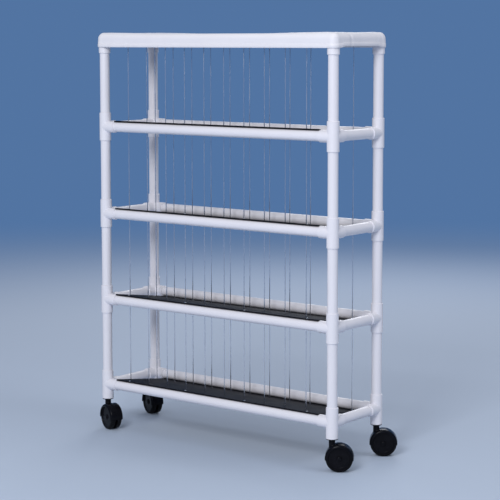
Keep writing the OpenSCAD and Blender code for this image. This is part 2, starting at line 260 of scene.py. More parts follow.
@dataclass(frozen=True)
class Layer:
    """One noise pattern of a finish, and what it does to the surface.

    Attributes:
        label: What the pattern is on the real piece.
        cells: The number of cells a metre, counted across the lines if it has lines.
        detail: The number of finer octaves.
        along: The number of cells a metre along the lines, or 0 for a pattern without lines.
        ramp: The noise at which the pattern starts and is full, or None for all of the noise.
        cover: How much of its tint shows where the pattern is full.
        gain: Its tint, as a factor on the finish's colour or on each channel.
        rough: What it adds to the roughness.
        relief: What it adds to the height, as a share of the finish's depth.
    """

    label: str
    cells: float
    detail: float
    along: float = 0.0
    ramp: Union[tuple[float, float], None] = None
    cover: float = 0.0
    gain: Union[float, Color] = 1.0
    rough: float = 0.0
    relief: float = 0.0


@dataclass(frozen=True)
class Finish:
    """A surface finish: layers of noise over a base tone of its colour.

    Attributes:
        name: The material's name.
        slot: The name of a material slot in the record. It is not used.
        color: Its colour.
        roughness: Its roughness under the layers.
        depth: The height in metres that a relief of 1 stands for.
        layers: Its patterns, in the order in which they are laid on.
        base: The tone under the layers, as a factor on the colour.
        sockets: The even values that go onto the shader's own sockets.
        run: The axis that patterns with lines follow.
        mapping: The coordinates that the patterns follow: Object or UV.
    """

    name: str
    slot: str
    color: Color
    roughness: float
    depth: float
    layers: tuple[Layer, ...]
    base: float = 1.0
    sockets: tuple[tuple[str, float], ...] = ()
    run: Run = Run.ALONG_Z
    mapping: str = "Object"

    def material(self) -> bpy.types.Material:
        """Makes the finish's material, unless it was made before.

        Returns:
            The material.
        """
        made = bpy.data.materials.get(self.name)
        if made is None:
            made = bpy.data.materials.new(self.name)
            self.paint(NodeSheet(made))
        return made

    def tone(self, gain: Union[float, Color]) -> Color:
        """Returns the colour, made lighter or darker as a whole or by channel."""
        gains = gain if isinstance(gain, tuple) else (gain,) * 3
        return tuple(min(1.0, channel * factor) for channel, factor in zip(self.color, gains))

    def pattern(self, sheet: NodeSheet, layer: Layer) -> Value:
        """Adds the nodes of one layer's pattern.

        Args:
            sheet: The material's nodes.
            layer: The layer.

        Returns:
            The pattern, from 0 to 1.
        """
        stretch, scale = [1.0] * 3, layer.cells
        if layer.along:
            stretch, scale = [layer.cells] * 3, 1.0
            stretch[self.run.value] = layer.along
        place = sheet.place(stretch, self.mapping)
        noise = sheet.noise(place, scale, layer.detail, layer.label)
        return noise.over(*layer.ramp) if layer.ramp else noise

    def paint(self, sheet: NodeSheet) -> None:
        """Fills the material's nodes, layer on layer.

        Args:
            sheet: The material's nodes, still empty.
        """
        color: Any = self.tone(self.base)
        rough: Number = self.roughness
        height: Number = 0.0
        for layer in self.layers:
            pattern = self.pattern(sheet, layer)
            if layer.cover:
                color = sheet.blend(layer.cover * pattern, color, self.tone(layer.gain))
            if layer.rough:
                rough = rough + layer.rough * pattern
            if layer.relief:
                height = height + layer.relief * pattern
        normal = self.normal(sheet, height)
        sheet.surface({"Base Color": color, "Roughness": rough, "Normal": normal, **dict(self.sockets)})

    def normal(self, sheet: NodeSheet, height: Number) -> Value:
        """Returns the normals of the layers' relief."""
        return sheet.bump(height, self.depth)


@dataclass(frozen=True)
class CoatedCloth(Finish):
    """A coated fabric, whose weave shows softly through the coat."""

    thread_pitch: float = 0.0009
    weave_depth: float = 0.00005
    weave_blur: float = 0.4
    crease_strength: float = 0.5

    def normal(self, sheet: NodeSheet, height: Number) -> Value:
        """Lays the weave over the layers' soft relief.

        Args:
            sheet: The material's nodes.
            height: The layers' relief.

        Returns:
            The normals of both.
        """
        # At a scale of 1, a wave texture turns through 20 radians a unit.
        radians_a_unit = 20.0
        scale = FULL_TURN / (radians_a_unit * self.thread_pitch)
        sockets = {"Scale": scale, "Distortion": self.weave_blur, "Detail": 1.0}
        sockets["Vector"] = sheet.place(kind=self.mapping)
        warp, weft = (
            sheet.value("ShaderNodeTexWave", {"bands_direction": direction}, sockets)
            for direction in ("X", "Y")
        )
        creases = sheet.bump(height, self.depth, self.crease_strength)
        return sheet.bump(warp * weft, self.weave_depth, under=creases)


def moulded_black(grain: float, dusty: float) -> tuple[Layer, ...]:
    """Makes the layers of black moulded plastic or rubber.

    Args:
        grain: The number of cells a metre of its spark grain.
        dusty: How much of the dust on it shows.

    Returns:
        The layers.
    """
    dulled = 0.3
    return (
        Layer("spark grain", cells=grain, detail=2.0, relief=1.0),
        Layer(
            "dust", cells=38.0, detail=5.0, ramp=(0.40, 0.85),
            cover=dusty, gain=4.0, rough=dusty * dulled,
        ),
        Layer(
            "rubbed spots", cells=95.0, detail=5.0, ramp=(0.58, 0.78),
            cover=0.35, gain=2.4, rough=-0.04,
        ),
    )


def plain_layers(cells: float) -> tuple[Layer, ...]:
    """Makes the one layer of a small part, whose tone wanders over so many cells a metre."""
    return (Layer("wandering tone", cells=cells, detail=3.0, cover=1.0, gain=1.1, rough=0.1, relief=1.0),)


EXTRUDED = (
    Layer("broad tone", cells=5.0, detail=3.0, cover=1.0, gain=1.02, rough=0.08),
    Layer("drawing lines", cells=700.0, detail=1.0, along=3.0, relief=1.0),
    Layer(
        "scuffs", cells=120.0, detail=4.0, along=14.0, ramp=(0.66, 0.78),
        cover=0.16, gain=0.62, rough=0.12, relief=0.5,
    ),
)
MOULDED = (
    Layer("flow marks", cells=24.0, detail=4.0, cover=1.0, gain=1.02, rough=0.06),
    Layer("orange peel", cells=420.0, detail=2.0, relief=1.0),
    Layer("handled spots", cells=70.0, detail=5.0, ramp=(0.62, 0.80), cover=0.12, gain=0.7, rough=0.1),
)
HAIRCELL = (
    Layer("grain", cells=650.0, detail=3.0, relief=1.0),
    Layer("dust", cells=11.0, detail=5.0, ramp=(0.35, 0.85), cover=0.5, gain=1.9, rough=0.08),
    Layer(
        "slide marks", cells=260.0, detail=5.0, along=6.0, ramp=(0.60, 0.74),
        cover=0.35, gain=3.2, rough=0.14, relief=-0.3,
    ),
)
DRAWN = (
    Layer("drawing lines", cells=900.0, detail=2.0, along=4.0, rough=0.06, relief=1.0),
    Layer(
        "dull patches", cells=60.0, detail=3.0, along=9.0, ramp=(0.45, 0.75),
        cover=0.4, gain=0.75, rough=0.08,
    ),
)
PASSIVATED = (
    Layer("cloudy plating", cells=160.0, detail=4.0, cover=1.0, gain=(1.04, 0.99, 0.88), rough=0.12),
    Layer("fine patches", cells=700.0, detail=2.0, ramp=(0.5, 0.7), rough=0.1, relief=1.0),
)
COATED = (
    Layer("broad tone", cells=7.0, detail=4.0, cover=1.0, gain=1.02, rough=0.1),
    Layer("soiling", cells=30.0, detail=5.0, ramp=(0.55, 0.85), cover=0.12, gain=0.72),
    Layer("soft creases", cells=90.0, detail=3.0, along=5.0, relief=1.0),
)

VINYL = (("IOR", 1.53),)
METAL = (("Metallic", 1.0),)
CLOTH = (("Sheen Weight", 0.08),)
DEEP = (("Specular IOR Level", 0.02),)
BLACK = (("Specular IOR Level", 0.08),)

PIPE_WHITE = (0.80, 0.785, 0.85)
FITTING_WHITE = (0.81, 0.795, 0.86)
# Grey of the thin rings at the pipe joints: painted shade standing in for the hairline gap's shadow at each
# fitting rim.
RIM_SHADE_GREY = (0.66, 0.65, 0.71)
CLOTH_WHITE = (0.80, 0.785, 0.84)
THREAD_GREY = (0.72, 0.72, 0.76)
BOARD_BLACK = (0.010, 0.010, 0.014)
HOOD_BLACK = (0.005, 0.005, 0.007)
TYRE_BLACK = (0.006, 0.006, 0.007)
CAP_BLACK = (0.016, 0.016, 0.017)
STEEL = (0.80, 0.80, 0.84)
ZINC_GREY = (0.66, 0.66, 0.68)

PIPE = {
    run: Finish(
        f"vinyl_pipe_{run.name.lower()}", "frame_pipe", PIPE_WHITE, roughness=0.30, depth=0.00002,
        layers=EXTRUDED, base=0.965, sockets=VINYL, run=run,
    )
    for run in Run
}
FITTING = Finish(
    "moulded_vinyl", "frame_fitting", FITTING_WHITE, roughness=0.33, depth=0.00006,
    layers=MOULDED, base=0.96, sockets=VINYL,
)
# Finish of the joint rings: a darker grey that paints the shade of the hairline gap at each fitting rim.
RIM_SHADE = Finish(
    "joint_cement", "frame_fitting", RIM_SHADE_GREY, roughness=0.40, depth=0.00004,
    layers=plain_layers(cells=300.0), base=0.85,
)
BOARD = Finish(
    "grained_sheet", "board", BOARD_BLACK, roughness=0.5, depth=0.00012,
    layers=HAIRCELL, sockets=DEEP, run=Run.ALONG_Y,
)
ROD = Finish(
    "drawn_rod", "rod", STEEL, roughness=0.22, depth=0.000002,
    layers=DRAWN, sockets=METAL,
)
ZINC = Finish(
    "zinc_plate", "fastener", ZINC_GREY, roughness=0.30, depth=0.00002,
    layers=PASSIVATED, sockets=METAL,
)
RUBBER = Finish(
    "cap_rubber", "rod_cap", CAP_BLACK, roughness=0.62, depth=0.00006,
    layers=moulded_black(grain=500.0, dusty=0.5), sockets=BLACK,
)
COVER = CoatedCloth(
    "coated_cloth", "cover", CLOTH_WHITE, roughness=0.45, depth=0.0004,
    layers=COATED, base=0.965, sockets=CLOTH, run=Run.ALONG_X, mapping="UV",
)
THREAD = Finish(
    "sewing_thread", "cover", THREAD_GREY, roughness=0.55, depth=0.00004,
    layers=plain_layers(cells=1500.0), base=0.85,
)
CASTER, WHEEL = (
    Finish(
        name, slot, HOOD_BLACK, roughness=0.20, depth=0.00002,
        layers=moulded_black(grain=900.0, dusty=0.15), sockets=BLACK,
    )
    for name, slot in (("hood_plastic", "caster_plastic"), ("wheel_plastic", "wheel"))
)
TYRE = Finish(
    "wheel_tyre", "wheel", TYRE_BLACK, roughness=0.42, depth=0.00004,
    layers=moulded_black(grain=600.0, dusty=0.2), sockets=BLACK,
)


# ---------- mesh work ----------


def placed(name: str, data: bpy.types.ID) -> bpy.types.Object:
    """Puts new object data into the scene.

    Args:
        name: The object's name.
        data: Its mesh, light or camera.

    Returns:
        The new object.
    """
    made = bpy.data.objects.new(name, data)
    bpy.context.scene.collection.objects.link(made)
    return made


def finished(
    name: str, shape: BMesh, finishes: Sequence[Finish], body: str, sharp: float = 40.0
) -> bpy.types.Object:
    """Turns a shape into a finished piece that rides on a body.

    Args:
        name: The piece's name.
        shape: Its mesh, in place, which is freed.
        finishes: A finish for each material index of its faces.
        body: The body that it moves with.
        sharp: The angle in degrees past which an edge stays sharp.

    Returns:
        The new object.
    """
    mesh = bpy.data.meshes.new(name)
    for face in shape.faces:
        face.smooth = True
    shape.to_mesh(mesh)
    shape.free()
    mesh.set_sharp_from_angle(angle=math.radians(sharp))
    for finish in finishes:
        mesh.materials.append(finish.material())
    piece = placed(name, mesh)
    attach(piece, body)
    LOG.info("%s: %d faces on %s", name, len(mesh.polygons), body)
    return piece


def dress(node: str, finish: Finish) -> None:
    """Gives one of the frame's own nodes its finish.

    Args:
        node: The node's name.
        finish: The finish for all of it.
    """
    for material_slot in frame["nodes"][node].material_slots:
        material_slot.material = finish.material()
    LOG.info("%s: %s", node, finish.name)


def wire(shape: BMesh, points: Iterable[Sequence[float]], closed: bool = False) -> list[BMEdge]:
    """Adds a chain of edges.

    Args:
        shape: The mesh to add to.
        points: The corners in order.
        closed: Whether the last corner joins the first.

    Returns:
        The new edges.
    """
    corners = [shape.verts.new(point) for point in points]
    pairs = list(zip(corners, corners[1:]))
    if closed:
        pairs.append((corners[-1], corners[0]))
    return [shape.edges.new(pair) for pair in pairs]


def round_corners(shape: BMesh, corners: list[BMVert], radius: float, segments: int = 4) -> None:
    """Rounds corners of an outline into arcs.

    Args:
        shape: The mesh that holds the outline.
        corners: The corners to round.
        radius: How far from its corner an arc starts, which is its radius at a right angle.
        segments: The number of edges on each arc.
    """
    bmesh.ops.bevel(
        shape, geom=corners, offset=radius, segments=segments, profile=0.5, affect="VERTICES", material=-1
    )


def moved(shape: BMesh, matrix: Matrix) -> BMesh:
    """Moves a whole shape and returns it."""
    bmesh.ops.transform(shape, matrix=matrix, verts=shape.verts)
    return shape


def only(kind: type, parts: Iterable[Any]) -> list[Any]:
    """Returns the parts of one kind out of an operator's result."""
    return [part for part in parts if isinstance(part, kind)]


def edges_where(edges: Iterable[BMEdge], test: Callable[[Vector], bool]) -> list[BMEdge]:
    """Returns the edges that have both ends where the test says yes."""
    return [edge for edge in edges if all(test(end.co) for end in edge.verts)]


def tidy(shape: BMesh, distance: float = HAIR / 2) -> None:
    """Merges doubled vertices and turns all faces outwards."""
    bmesh.ops.remove_doubles(shape, verts=shape.verts, dist=distance)
    bmesh.ops.recalc_face_normals(shape, faces=shape.faces)


def turned(
    outline: Sequence[Point],
    rounding: Mapping[int, float] = MappingProxyType({}),
    steps: int = 64,
    segments: int = 4,
) -> BMesh:
    """Turns an outline about the Z axis, as on a lathe.

    Args:
        outline: Corners as (distance from the axis, height). One that starts on the axis also
            ends on it, and any other is closed.
        rounding: The radius of each rounded corner, by the corner's number.
        steps: The number of faces round the turn.
        segments: The number of faces on a rounded corner.

    Returns:
        The turned solid.
    """
    shape = bmesh.new()
    closed = outline[0][0] > 0.0
    wire(shape, [(distance, 0.0, height) for distance, height in outline], closed)
    corners = shape.verts[:]
    for number, radius in rounding.items():
        round_corners(shape, [corners[number]], radius, segments)
    bmesh.ops.spin(
        shape,
        geom=shape.verts[:] + shape.edges[:],
        axis=UP,
        cent=(0.0, 0.0, 0.0),
        angle=FULL_TURN,
        steps=steps,
        use_merge=True,
    )
    tidy(shape)
    return shape


def cut_below(shape: BMesh, normal: Vector, point: Vector) -> None:
    """Cuts a closed solid with a plane and closes the cut.

    Args:
        shape: The solid.
        normal: The way from the plane to the side that is kept.
        point: A point on the plane.
    """
    cut = bmesh.ops.bisect_plane(
        shape,
        geom=shape.verts[:] + shape.edges[:] + shape.faces[:],
        plane_co=point,
        plane_no=-normal,
        clear_outer=True,
    )
    bmesh.ops.holes_fill(shape, edges=only(BMEdge, cut["geom_cut"]), sides=0)
    bmesh.ops.recalc_face_normals(shape, faces=shape.faces)


def joined(shapes: Sequence[BMesh]) -> BMesh:
    """Puts several shapes into one mesh.

    Args:
        shapes: The shapes, which are freed.

    Returns:
        The one mesh.
    """
    whole = bmesh.new()
    for shape in shapes:
        part = bpy.data.meshes.new("part")
        shape.to_mesh(part)
        shape.free()
        whole.from_mesh(part)
        bpy.data.meshes.remove(part)
    return whole


def solids_of(shape: BMesh) -> list[list[BMFace]]:
    """Splits a mesh into its separate solids.

    Args:
        shape: The mesh, with its doubled vertices merged.

    Returns:
        The faces of each solid.
    """
    seen: set[int] = set()
    solids = []
    shape.faces.index_update()
    for first in shape.faces:
        if first.index in seen:
            continue
        seen.add(first.index)
        solid = [first]
        for face in solid:
            for near in (other for edge in face.edges for other in edge.link_faces):
                if near.index not in seen:
                    seen.add(near.index)
                    solid.append(near)
        solids.append(solid)
    return solids


def widest_flat(solid: Sequence[BMFace]) -> tuple[Vector, Vector]:
    """Finds the largest flat side of a solid.

    Args:
        solid: The solid's faces.

    Returns:
        The middle of the flat side and its outward normal.
    """
    same_way = 0.9999
    flats: list[list[BMFace]] = []
    for face in solid:
        for flat in flats:
            gap = (face.calc_center_median() - flat[0].calc_center_median()).dot(face.normal)
            if face.normal.dot(flat[0].normal) > same_way and abs(gap) < HAIR:
                flat.append(face)
                break
        else:
            flats.append([face])
    widest = max(flats, key=lambda flat: sum(face.calc_area() for face in flat))
    area = sum(face.calc_area() for face in widest)
    middle = sum((face.calc_center_median() * face.calc_area() for face in widest), Vector()) / area
    return middle, widest[0].normal.copy()


def ease(distance: float, start: float, span: float) -> float:
    """Returns 0 up to start, 1 past start + span, and a smooth rise between."""
    share = min(1.0, max(0.0, (distance - start) / span))
    return share * share * (3.0 - 2.0 * share)


# ---------- measures of the frame ----------


@dataclass(frozen=True)
class Measures:
    """Where the frame's axes, levels and rims lie, read from its packed boxes.

    Attributes:
        post_x: How far the post axes stand from the middle along X.
        post_y: How far they stand from it along Y.
        levels: The heights of the rail axes.
        pipe_r: The outer radius of the pipes.
        arm: How far a fitting's rims lie from the point where its axes meet.
    """

    post_x: float
    post_y: float
    levels: tuple[float, ...]
    pipe_r: float
    arm: float

    @classmethod
    def of_frame(cls) -> "Measures":
        """Reads the measures from the front right corner and the front rails.

        Returns:
            The measures.
        """
        low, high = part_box("post_front_right")
        fittings_low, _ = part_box("fittings_front_right")
        rails = [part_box(f"front_rail_{number}") for number in LEVEL_NUMBERS]
        post_x = (low.x + high.x) / 2
        return cls(
            post_x=post_x,
            post_y=-(low.y + high.y) / 2,
            levels=tuple((rail_low.z + rail_high.z) / 2 for rail_low, rail_high in rails),
            pipe_r=(high.x - low.x) / 2,
            arm=post_x - fittings_low.x,
        )


class Side(Enum):
    """A corner post by its signs along X and Y."""

    FRONT_LEFT = (-1, -1)
    FRONT_RIGHT = (1, -1)
    REAR_LEFT = (-1, 1)
    REAR_RIGHT = (1, 1)

    @property
    def label(self) -> str:
        """The side as the frame's node names spell it."""
        return self.name.lower()


# ---------- the pipe frame ----------


@dataclass(frozen=True)
class PipeFrame:
    """White pipes and fittings, with a thin grey ring of painted shade at each pipe joint."""

    measures: Measures
    bead_width: float = 0.0006
    bead_height: float = 0.0008
    bead_sink: float = 0.0002

    def build(self) -> None:
        """Dresses the pipes and fittings and adds the beads."""
        for side in Side:
            dress(f"post_{side.label}", PIPE[Run.ALONG_Z])
            dress(f"fittings_{side.label}", FITTING)
            self.beads(side)
        for number in LEVEL_NUMBERS:
            for rail in ("front", "rear"):
                dress(f"{rail}_rail_{number}", PIPE[Run.ALONG_X])
            for rail in ("left", "right"):
                dress(f"{rail}_rail_{number}", PIPE[Run.ALONG_Y])

    def bead(self) -> BMesh:
        """Makes one bead round a pipe that runs along Z.

        Returns:
            The bead, seated on a rim at Z 0.
        """
        inner = self.measures.pipe_r - self.bead_sink
        outer = self.measures.pipe_r + self.bead_width
        outline = [(inner, -self.bead_sink), (outer, -self.bead_sink), (inner, self.bead_height)]
        return turned(outline, steps=40)

    def beads(self, side: Side) -> None:
        """Puts a bead at each rim of one corner's fittings.

        Args:
            side: The corner.
        """
        measures = self.measures
        sign_x, sign_y = side.value
        corner = Vector((sign_x * measures.post_x, sign_y * measures.post_y, 0.0))
        beads = []
        for number, level in enumerate(measures.levels):
            ways = [Vector((-sign_x, 0, 0)), Vector((0, -sign_y, 0))]
            if number > 0:
                ways.append(-UP)
            if level != measures.levels[-1]:
                ways.append(UP)
            for way in ways:
                turn = UP.rotation_difference(way).to_matrix().to_4x4()
                rim = corner + UP * level + way * measures.arm
                beads.append(moved(self.bead(), Matrix.Translation(rim) @ turn))
        # The rings paint the shade of the gap at each rim in a darker grey.
        finished(f"joint_cement_{side.label}", joined(beads), [RIM_SHADE], RACK)


# ---------- boards, rods and their hardware ----------


@dataclass(frozen=True)
class PanScrews:
    """The board screws, with a domed head and a cross recess for the driver."""

    head_r: float = 0.00425
    head_height: float = 0.0024
    rim: float = 0.0009
    crown_r: float = 0.0030
    shank_r: float = 0.0020
    tip: float = 0.0005
    arm: float = 0.0019
    arm_width: float = 0.0008
    recess: float = 0.0013
    taper: float = 0.6
    twist_step: float = 1.9

    def build(self) -> None:
        """Makes one screw in the place of each one in the frame."""
        node = "board_screws"
        packed = bmesh.new()
        packed.from_mesh(frame["nodes"][node].data)
        bmesh.ops.remove_doubles(packed, verts=packed.verts, dist=HAIR / 10)
        screws = []
        for number, solid in enumerate(solids_of(packed)):
            seat, down = widest_flat(solid)
            length = max((vertex.co - seat).dot(down) for face in solid for vertex in face.verts)
            turn = (-UP).rotation_difference(down).to_matrix().to_4x4()
            twist = Matrix.Rotation(self.twist_step * number, 4, "Z")
            screws.append(moved(self.screw(length), Matrix.Translation(seat) @ turn @ twist))
        packed.free()
        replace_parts(finished("pan_screws", joined(screws), [ZINC], RACK, sharp=35.0), node)

    def screw(self, length: float) -> BMesh:
        """Makes one screw along Z.

        Args:
            length: The length of its shank.

        Returns:
            The screw, with the underside of its head on Z 0.
        """
        outline = [(0.0, -length), (self.shank_r - self.tip, -length), (self.shank_r, self.tip - length)]
        outline += [(self.shank_r, 0.0), (self.head_r, 0.0), (self.head_r, self.rim)]
        outline += [(self.crown_r, self.head_height), (0.0, self.head_height)]
        head_edge, crown_edge = 5, 6
        shape = turned(outline, {head_edge: self.rim / 2, crown_edge: self.rim}, steps=24, segments=3)
        crown = max(shape.verts, key=lambda vertex: vertex.co.z - math.hypot(vertex.co.x, vertex.co.y))
        bmesh.ops.delete(shape, geom=[crown], context="VERTS")
        rim = [edge for edge in shape.edges if edge.is_boundary]
        half, top = self.arm_width / 2, self.head_height
        corners = [Vector((self.arm, -half, top)), Vector((self.arm, half, top)), Vector((half, half, top))]
        turns = [Matrix.Rotation(QUARTER_TURN * quarter, 3, "Z") for quarter in range(4)]
        cross = wire(shape, [turn @ corner for turn in turns for corner in corners], closed=True)
        bmesh.ops.triangle_fill(shape, use_beauty=True, edges=rim + cross)
        walls = bmesh.ops.extrude_edge_only(shape, edges=cross)["geom"]
        floor = only(BMVert, walls)
        bmesh.ops.scale(shape, vec=(self.taper, self.taper, 1.0), verts=floor)
        bmesh.ops.translate(shape, vec=(0.0, 0.0, -self.recess), verts=floor)
        bmesh.ops.triangle_fill(shape, edges=only(BMEdge, walls))
        bmesh.ops.recalc_face_normals(shape, faces=shape.faces)
        return shape


@dataclass(frozen=True)
class BoardsAndRods:
    """Shelves, top board, divider rods and the hardware that holds them."""

    screws: PanScrews = PanScrews()

    def build(self) -> None:
        """Dresses the boards, the rods and the nuts, and makes the screws."""
        for number in LEVEL_NUMBERS[:-1]:
            dress(f"shelf_{number}", BOARD)
        dress("top_board", BOARD)
        for row in ("front", "rear"):
            dress(f"rods_{row}", ROD)
        dress("rod_nuts", ZINC)
        dress("rod_caps", RUBBER)
        self.screws.build()


# ---------- the top cover ----------


@dataclass(frozen=True)
class TopCover:
    """A coated fabric cover, stretched over the top frame, with a sewn hem.

    Attributes:
        gather_rise: The depth below the rail axes at which the gathers start, and the depth
            over which they grow.
        end_creases: The place along Y, depth and width of each crease on the right end.
    """

    measures: Measures
    thickness: float = 0.0012
    roll_segments: int = 10
    skirt_rows: int = 7
    long_rows: int = 101
    short_rows: int = 26
    rail_clearance: float = 0.0004
    settle_span: float = 0.30
    centre_sag: float = 0.007
    hem_height: float = 0.016
    hem_thickness: float = 0.0009
    stitch_pitch: float = 0.005
    stitch_length: float = 0.0034
    stitch_width: float = 0.0007
    stitch_height: float = 0.0006
    stitch_inset: float = 0.003
    sag_power_x: int = 6
    sag_power_y: int = 2
    ripple_height: float = 0.0006
    ripple_x: float = 17.0
    ripple_y: float = 9.0
    ripple_bend: float = 2.0
    fold_height: float = 0.0011
    fold_count: float = 11.0
    fold_fade: float = 0.10
    fold_start: float = 0.03
    gather_height: float = 0.0010
    gathers: float = 340.0
    gather_slant: float = 70.0
    gather_fade: float = 0.045
    gather_rise: tuple[float, float] = (-0.012, 0.02)
    wander_height: float = 0.0009
    wander_span: float = 0.034
    wander_x: float = 21.0
    wander_phase: float = 0.7
    cross_share: float = 0.6
    cross_x: float = 9.0
    cross_y: float = 31.0
    end_rise: float = 0.006
    end_span: float = 0.05
    end_depth: float = 0.018
    end_creases: tuple[tuple[float, float, float], ...] = (
        (-0.073, 0.0030, 0.0045),
        (0.118, 0.0014, 0.0040),
        (0.140, 0.0016, 0.0045),
    )

    def build(self) -> None:
        low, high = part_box("top_cover")
        measures = self.measures
        roll = high.x - measures.post_x
        axis_z = high.z - roll
        skirt_y = -measures.post_y - roll
        outline = [(0.0, high.z), (skirt_y, high.z), (skirt_y, low.z)]
        sheet = self.sweep(outline, roll, open_top=True)
        self.map_flat(sheet, roll, axis_z)
        self.settle(sheet, roll, axis_z)
        cover = finished("cover_cloth", sheet, [COVER], RACK, sharp=70.0)
        wall = cover.modifiers.new("cloth_thickness", "SOLIDIFY")
        wall.thickness = self.thickness
        wall.offset = -1.0
        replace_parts(cover, "top_cover")
        hem = self.hem(roll, low.z, axis_z)
        stitches = self.stitches(roll, low.z, axis_z)
        self.declare(roll, axis_z - low.z)

    def declare(
        self, roll: float, drop: float
    ) -> None:
        """Works out the cover's flat size, its cloth area and the rails and fittings it rests on, and keeps
        none of them.

        Args:
            roll: The radius of the bend over the rails.
            drop: The height of the skirt below the rail axes.
        """
        measures = self.measures
        reach = roll * QUARTER_TURN + drop
        flat = (2 * (measures.post_y + reach), 2 * (measures.post_x + reach))
        corner_cloth = QUARTER_TURN * roll * (roll + drop)
        area = flat[0] * flat[1] - 4 * reach * reach + 4 * corner_cloth
        rests = [f"{rail}_rail_{len(measures.levels)}" for rail in ("front", "rear", "left", "right")]
        rests += [f"fittings_{side.label}" for side in Side]

    def sweep(self, outline: list[Point], roll: float, open_top: bool) -> BMesh:
        """Carries an outline round the rack's four sides and corners.

        Args:
            outline: Corners as (Y, Z) at the middle of the front.
            roll: The distance of the skirt from the rail axes.
            open_top: Whether the outline is the whole sheet from the middle line outwards.

        Returns:
            The swept shape, closed at its seams.
        """
        measures = self.measures
        shape = bmesh.new()
        wire(shape, [(0.0, y, z) for y, z in outline], closed=not open_top)
        if open_top:
            shape.verts.ensure_lookup_table()
            bend = shape.verts[1]
            round_corners(shape, [bend], roll, self.roll_segments)
            flat = edges_where(shape.edges, lambda point: point.y > -measures.post_y - TENTH)
            skirt = edges_where(shape.edges, lambda point: point.y < -measures.post_y - roll + HAIR)
            bmesh.ops.subdivide_edges(shape, edges=flat, cuts=self.short_rows)
            bmesh.ops.subdivide_edges(shape, edges=skirt, cuts=self.skirt_rows)
        front = self.pull(shape, shape.edges[:], Vector((measures.post_x, 0.0, 0.0)), self.long_rows)
        outside = edges_where(front, lambda point: point.y < -measures.post_y + TENTH)
        turn = bmesh.ops.spin(
            shape,
            geom=outside,
            axis=UP,
            cent=(measures.post_x, -measures.post_y, 0.0),
            angle=QUARTER_TURN,
            steps=self.roll_segments,
            use_duplicate=False,
        )
        ends = only(BMEdge, turn["geom_last"])
        self.pull(shape, ends, Vector((0.0, measures.post_y, 0.0)), self.short_rows)
        for axis in ("X", "Y"):
            half = shape.verts[:] + shape.edges[:] + shape.faces[:]
            bmesh.ops.mirror(shape, geom=half, axis=axis, merge_dist=0.0)
        tidy(shape, TENTH / 2)
        return shape

    @staticmethod
    def pull(shape: BMesh, edges: list[BMEdge], travel: Vector, cuts: int) -> list[BMEdge]:
        """Extrudes edges in a straight line and divides the new strips.

        Args:
            shape: The mesh that holds the edges.
            edges: The edges to pull out.
            travel: How far they are pulled.
            cuts: The number of cuts across the strips.

        Returns:
            The edges at the far end.
        """
        out = bmesh.ops.extrude_edge_only(shape, edges=edges)["geom"]
        corners = only(BMVert, out)
        bmesh.ops.translate(shape, verts=corners, vec=travel)
        far_end = set(corners)
        # A dict keeps the order of the edges from run to run, which a set may not.
        rungs = dict.fromkeys(
            edge for corner in corners for edge in corner.link_edges if not far_end.issuperset(edge.verts)
        )
        ends = only(BMEdge, out)
        bmesh.ops.subdivide_edges(shape, edges=list(rungs), cuts=cuts, use_grid_fill=True)
        return ends

    def past_rails(self, point: Vector) -> Vector:
        """Measures how far a point lies outside the rail axes.

        Args:
            point: The point.

        Returns:
            The distances along X and Y, with the point's signs.
        """
        out_x = max(0.0, abs(point.x) - self.measures.post_x)
        out_y = max(0.0, abs(point.y) - self.measures.post_y)
        return Vector((math.copysign(out_x, point.x), math.copysign(out_y, point.y), 0.0))

    def map_flat(self, shape: BMesh, roll: float, axis_z: float) -> None:
        """Maps the cloth as it lay flat, so that its weave follows the surface.

        Args:
            shape: The sheet or the hem at its plain size.
            roll: The radius of the bend over the fittings.
            axis_z: The height of the top rail axes.
        """
        layer = shape.loops.layers.uv.new("cloth")
        measures = self.measures
        for face in shape.faces:
            for loop in face.loops:
                point = loop.vert.co
                out = self.past_rails(point)
                if point.z > axis_z:
                    run = roll * math.atan2(out.length, point.z - axis_z)
                else:
                    run = roll * QUARTER_TURN + axis_z - point.z
                way = out.normalized() * run
                flat_x = math.copysign(min(abs(point.x), measures.post_x), point.x) + way.x
                flat_y = math.copysign(min(abs(point.y), measures.post_y), point.y) + way.y
                loop[layer].uv = (flat_x, flat_y)

    def snug(self, point: Vector) -> float:
        """Tells how far the cloth has sunk from the fittings' height to the pipes'.

        Args:
            point: A point of the cloth.

        Returns:
            A share from 0, over the fittings, to 1, on the pipes.
        """
        measures = self.measures
        along_x = ease(measures.post_x - abs(point.x), measures.arm, self.settle_span)
        along_y = ease(measures.post_y - abs(point.y), measures.arm, self.settle_span)
        return along_x + along_y - along_x * along_y

    def settle(self, shape: BMesh, roll: float, axis_z: float) -> None:
        """Draws the cloth down onto the pipes, sags its middle and puckers its corners.

        Args:
            shape: The sheet, the hem or the stitches at their plain size.
            roll: The radius of the bend over the fittings.
            axis_z: The height of the top rail axes.
        """
        measures = self.measures
        slack = roll - measures.pipe_r - self.thickness - self.rail_clearance
        for vertex in shape.verts:
            point = vertex.co.copy()
            out = self.past_rails(point)
            snug = self.snug(point)
            depth = max(0.0, axis_z - point.z)
            corner_x, corner_y = measures.post_x - abs(point.x), measures.post_y - abs(point.y)
            if corner_x < 0.0:
                lift = ease(corner_y, 0.0, self.end_span) * ease(depth, 0.0, self.end_depth)
                vertex.co.z += self.end_rise * lift
            if out.length > HAIR:
                rise = max(0.0, point.z - axis_z)
                radial = Vector((out.x, out.y, rise)).normalized()
                side = radial if rise > 0 else out.normalized()
                near = min(max(corner_x, 0.0), max(corner_y, 0.0)) + max(corner_x, corner_y, 0.0)
                shift = -slack * snug + self.pucker(near, depth) + self.wander(point, depth)
                shift -= self.crease(point)
                vertex.co += side * shift
            else:
                vertex.co.z -= slack * snug + self.sag(point) - self.folds(corner_x, corner_y)

